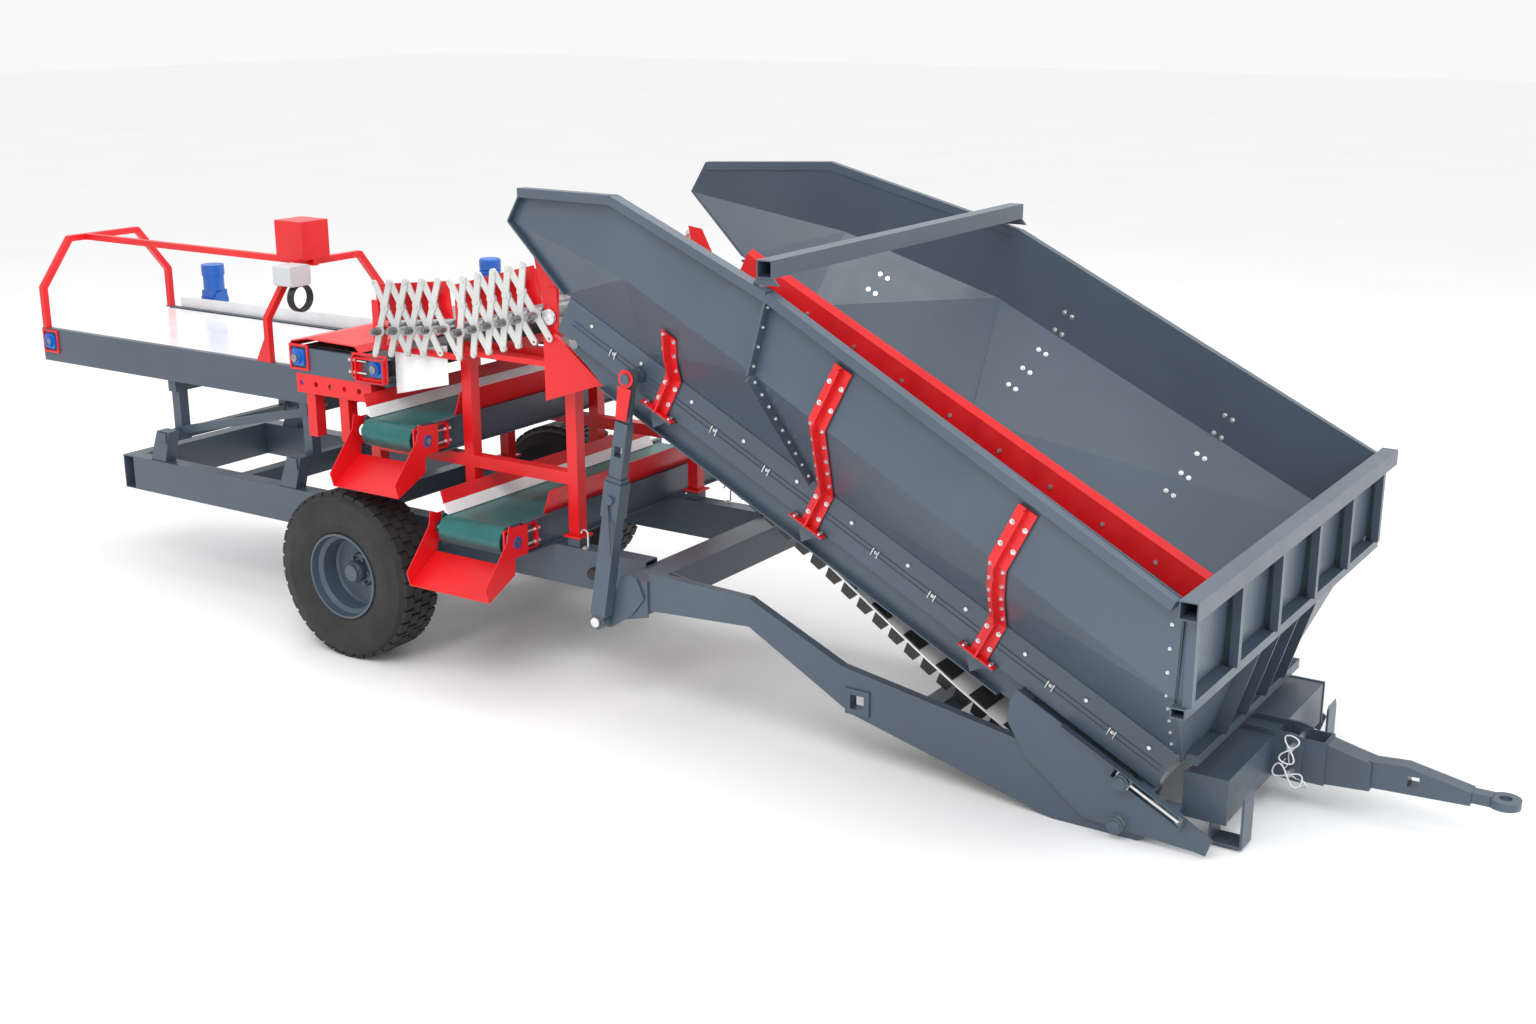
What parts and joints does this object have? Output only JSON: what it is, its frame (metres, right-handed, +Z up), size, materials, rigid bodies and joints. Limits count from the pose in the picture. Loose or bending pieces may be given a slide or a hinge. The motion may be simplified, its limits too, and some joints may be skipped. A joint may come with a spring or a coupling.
{
  "type": "trailed receiving hopper with roller grader and inspection table",
  "caption": "Trailed receiving hopper with flighted elevator, lazy-tong roller grader, transfer and cross conveyors, and an inspection table on a two-wheel chassis.",
  "frame": {"origin": "centre of the tow eye's hole, at mid thickness", "axes": "+X forwards along the drawbar, away from the wheels; +Y to the machine's left; +Z up"},
  "size_m": [8.1599, 2.524, 2.372],
  "materials": {
    "slate_paint": "satin",
    "red_paint": "gloss",
    "grey_links": "satin",
    "blue_paint": "satin",
    "zinc_steel": "zinc plated",
    "roller_steel": "worn",
    "tyre_rubber": "moulded",
    "black_rubber": "moulded",
    "black_belt": "smooth",
    "green_belt": "smooth",
    "white_belt": "smooth",
    "red_strip": "smooth",
    "grey_plastic": "moulded"
  },
  "bodies": {
    "chassis": {"bearings_and_motors": "blue_paint", "chassis_frame": "slate_paint", "chutes_guards_and_hood": "red_paint", "control_cabinet": "red_paint", "cross_conveyor_belts": "green_belt", "cross_conveyor_frames": "slate_paint", "drawbar": "slate_paint", "frame_pins": "zinc_steel", "front_frame": "slate_paint", "grader_frame": "red_paint", "grader_links_front": "grey_links", "guard_hoops": "red_paint", "inspection_belt": "white_belt", "inspection_frame": "slate_paint", "junction_box": "grey_plastic", "transfer_belt": "black_belt", "transfer_frame": "slate_paint", "white_skirts": "white_belt"},
    "receiver": {"elevator_frame": "slate_paint", "elevator_belt": "white_belt", "elevator_flights": "black_rubber", "take_up_screws": "zinc_steel", "hopper_walls": "slate_paint", "hopper_front_wall": "slate_paint", "hopper_seal_strips": "red_strip", "hopper_brackets": "red_paint", "receiver_fasteners": "zinc_steel"},
    "wheel_left": {"wheel_rim_left": "slate_paint", "tyre_left": "tyre_rubber"},
    "wheel_right": {"wheel_rim_right": "slate_paint", "tyre_right": "tyre_rubber"},
    "strut_lower": {"strut_sleeves": "slate_paint"},
    "strut_upper": {"strut_inners": "slate_paint"},
    "elevator_tail": {"elevator_tail_drum": "roller_steel"},
    "elevator_head": {"elevator_head_drum": "roller_steel"},
    "table_tail": {"inspection_tail_drum": "roller_steel"},
    "table_head": {"inspection_head_drum": "roller_steel"},
    "transfer_tail": {"transfer_tail_drum": "roller_steel"},
    "transfer_head": {"transfer_head_drum": "roller_steel"},
    "upper_cross": {"upper_cross_drum": "roller_steel"},
    "lower_cross": {"lower_cross_drum": "roller_steel"},
    "roller_1_body": {"roller_1": "roller_steel"},
    "roller_2_body": {"roller_2": "roller_steel"},
    "roller_3_body": {"roller_3": "roller_steel"},
    "roller_4_body": {"roller_4": "roller_steel"},
    "roller_5_body": {"roller_5": "roller_steel"},
    "roller_6_body": {"roller_6": "roller_steel"},
    "roller_7_body": {"roller_7": "roller_steel"},
    "roller_8_body": {"roller_8": "roller_steel"},
    "roller_9_body": {"roller_9": "roller_steel"},
    "roller_10_body": {"roller_10": "roller_steel"},
    "roller_11_body": {"roller_11": "roller_steel"},
    "bar_right_1": {"link_right_1": "grey_links"},
    "bar_right_2": {"link_right_2": "grey_links"},
    "bar_right_3": {"link_right_3": "grey_links"},
    "bar_right_4": {"link_right_4": "grey_links"},
    "bar_left_2": {"link_left_2": "grey_links"},
    "bar_left_3": {"link_left_3": "grey_links"},
    "bar_left_4": {"link_left_4": "grey_links"},
    "bar_left_5": {"link_left_5": "grey_links"}
  },
  "joints": [
    {"name": "hopper_tilt", "type": "hinge", "parent": "chassis", "child": "receiver", "pos_m": [-1.279, 0, -0.128], "axis": [0, 1, 0], "range_deg": [0, 3]},
    {"name": "strut_foot", "type": "hinge", "parent": "chassis", "child": "strut_lower", "pos_m": [-3.79, 0, 0.24], "axis": [0, 1, 0], "range_deg": [-0.5, 3.2]},
    {"name": "strut_extend", "type": "slide", "parent": "strut_lower", "child": "strut_upper", "axis": [0.1691, 0, 0.9856], "range_m": [-0.005, 0.1427]},
    {"name": "wheel_left_spin", "type": "hinge", "parent": "chassis", "child": "wheel_left", "pos_m": [-5.26, 0.825, 0.2325], "axis": [0, 1, 0], "continuous": true},
    {"name": "wheel_right_spin", "type": "hinge", "parent": "chassis", "child": "wheel_right", "pos_m": [-5.26, -0.825, 0.2325], "axis": [0, 1, 0], "continuous": true},
    {"name": "elevator_head_spin", "type": "hinge", "parent": "receiver", "child": "elevator_head", "pos_m": [-3.9627, 0, 1.48182], "axis": [0, 1, 0], "continuous": true},
    {"name": "elevator_tail_spin", "type": "hinge", "parent": "receiver", "child": "elevator_tail", "pos_m": [-1.2637, 0, 0.06099], "axis": [0, 1, 0], "continuous": true},
    {"name": "table_head_spin", "type": "hinge", "parent": "chassis", "child": "table_head", "pos_m": [-5.91, 0, 1.038], "axis": [0, 1, 0], "continuous": true},
    {"name": "table_tail_spin", "type": "hinge", "parent": "chassis", "child": "table_tail", "pos_m": [-8.022, 0, 1.038], "axis": [0, 1, 0], "continuous": true},
    {"name": "transfer_head_spin", "type": "hinge", "parent": "chassis", "child": "transfer_head", "pos_m": [-5.776, 0, 1.22], "axis": [0, 1, 0], "continuous": true},
    {"name": "transfer_tail_spin", "type": "hinge", "parent": "chassis", "child": "transfer_tail", "pos_m": [-5.235, 0, 1.22], "axis": [0, 1, 0], "continuous": true},
    {"name": "upper_cross_spin", "type": "hinge", "parent": "chassis", "child": "upper_cross", "pos_m": [-5.0425, -0.745, 0.932], "axis": [1, 0, 0], "continuous": true},
    {"name": "lower_cross_spin", "type": "hinge", "parent": "chassis", "child": "lower_cross", "pos_m": [-4.4725, -0.815, 0.545], "axis": [1, 0, 0], "continuous": true},
    {"name": "grader_spread", "type": "hinge", "parent": "chassis", "child": "bar_right_1", "pos_m": [-5.201, 0, 1.411], "axis": [0, 1, 0], "range_deg": [-5, 1]},
    {"name": "bar_left_2_pivot", "type": "hinge", "parent": "bar_right_1", "child": "bar_left_2", "pos_m": [-5.16166, 0, 1.53039], "axis": [0, 1, 0], "range_deg": [-3, 11]},
    {"name": "bar_right_2_pivot", "type": "hinge", "parent": "bar_left_2", "child": "bar_right_2", "pos_m": [-5.09572, 0, 1.42337], "axis": [0, 1, 0], "range_deg": [-11, 3]},
    {"name": "bar_left_3_pivot", "type": "hinge", "parent": "bar_right_2", "child": "bar_left_3", "pos_m": [-5.05638, 0, 1.54275], "axis": [0, 1, 0], "range_deg": [-3, 11]},
    {"name": "bar_right_3_pivot", "type": "hinge", "parent": "bar_left_3", "child": "bar_right_3", "pos_m": [-4.99045, 0, 1.43573], "axis": [0, 1, 0], "range_deg": [-11, 3]},
    {"name": "bar_left_4_pivot", "type": "hinge", "parent": "bar_right_3", "child": "bar_left_4", "pos_m": [-4.95111, 0, 1.55512], "axis": [0, 1, 0], "range_deg": [-3, 11]},
    {"name": "bar_right_4_pivot", "type": "hinge", "parent": "bar_left_4", "child": "bar_right_4", "pos_m": [-4.88517, 0, 1.4481], "axis": [0, 1, 0], "range_deg": [-11, 3]},
    {"name": "bar_left_5_pivot", "type": "hinge", "parent": "bar_right_4", "child": "bar_left_5", "pos_m": [-4.84583, 0, 1.56749], "axis": [0, 1, 0], "range_deg": [-3, 11]},
    {"name": "roller_1_spin", "type": "hinge", "parent": "chassis", "child": "roller_1_body", "pos_m": [-5.201, 0, 1.411], "axis": [0, 1, 0], "continuous": true},
    {"name": "roller_2_spin", "type": "hinge", "parent": "bar_left_2", "child": "roller_2_body", "pos_m": [-5.09572, 0, 1.42337], "axis": [0, 1, 0], "continuous": true},
    {"name": "roller_3_spin", "type": "hinge", "parent": "bar_left_3", "child": "roller_3_body", "pos_m": [-4.99045, 0, 1.43573], "axis": [0, 1, 0], "continuous": true},
    {"name": "roller_4_spin", "type": "hinge", "parent": "bar_left_4", "child": "roller_4_body", "pos_m": [-4.88517, 0, 1.4481], "axis": [0, 1, 0], "continuous": true},
    {"name": "roller_5_spin", "type": "hinge", "parent": "bar_left_5", "child": "roller_5_body", "pos_m": [-4.7799, 0, 1.46047], "axis": [0, 1, 0], "continuous": true},
    {"name": "roller_6_spin", "type": "hinge", "parent": "chassis", "child": "roller_6_body", "pos_m": [-4.679, 0, 1.458], "axis": [0, 1, 0], "continuous": true},
    {"name": "roller_7_spin", "type": "hinge", "parent": "chassis", "child": "roller_7_body", "pos_m": [-4.58772, 0, 1.48246], "axis": [0, 1, 0], "continuous": true},
    {"name": "roller_8_spin", "type": "hinge", "parent": "chassis", "child": "roller_8_body", "pos_m": [-4.49644, 0, 1.50692], "axis": [0, 1, 0], "continuous": true},
    {"name": "roller_9_spin", "type": "hinge", "parent": "chassis", "child": "roller_9_body", "pos_m": [-4.40516, 0, 1.53137], "axis": [0, 1, 0], "continuous": true},
    {"name": "roller_10_spin", "type": "hinge", "parent": "chassis", "child": "roller_10_body", "pos_m": [-4.31388, 0, 1.55583], "axis": [0, 1, 0], "continuous": true},
    {"name": "roller_11_spin", "type": "hinge", "parent": "chassis", "child": "roller_11_body", "pos_m": [-4.2226, 0, 1.58029], "axis": [0, 1, 0], "continuous": true}
  ],
  "couplings": [
    {"joint": "strut_foot", "follows": "hopper_tilt", "ratio": 0.90107},
    {"joint": "strut_extend", "follows": "hopper_tilt", "m_per_rad": 2.5346},
    {"joint": "elevator_tail_spin", "follows": "elevator_head_spin", "ratio": 1},
    {"joint": "table_tail_spin", "follows": "table_head_spin", "ratio": 1},
    {"joint": "transfer_tail_spin", "follows": "transfer_head_spin", "ratio": 1},
    {"joint": "bar_left_2_pivot", "follows": "grader_spread", "ratio": -2},
    {"joint": "bar_right_2_pivot", "follows": "grader_spread", "ratio": 2},
    {"joint": "bar_left_3_pivot", "follows": "grader_spread", "ratio": -2},
    {"joint": "bar_right_3_pivot", "follows": "grader_spread", "ratio": 2},
    {"joint": "bar_left_4_pivot", "follows": "grader_spread", "ratio": -2},
    {"joint": "bar_right_4_pivot", "follows": "grader_spread", "ratio": 2},
    {"joint": "bar_left_5_pivot", "follows": "grader_spread", "ratio": -2},
    {"joint": "roller_2_spin", "follows": "roller_1_spin", "ratio": 1},
    {"joint": "roller_3_spin", "follows": "roller_1_spin", "ratio": 1},
    {"joint": "roller_4_spin", "follows": "roller_1_spin", "ratio": 1},
    {"joint": "roller_5_spin", "follows": "roller_1_spin", "ratio": 1},
    {"joint": "roller_6_spin", "follows": "roller_1_spin", "ratio": 1},
    {"joint": "roller_7_spin", "follows": "roller_1_spin", "ratio": 1},
    {"joint": "roller_8_spin", "follows": "roller_1_spin", "ratio": 1},
    {"joint": "roller_9_spin", "follows": "roller_1_spin", "ratio": 1},
    {"joint": "roller_10_spin", "follows": "roller_1_spin", "ratio": 1},
    {"joint": "roller_11_spin", "follows": "roller_1_spin", "ratio": 1}
  ]
}
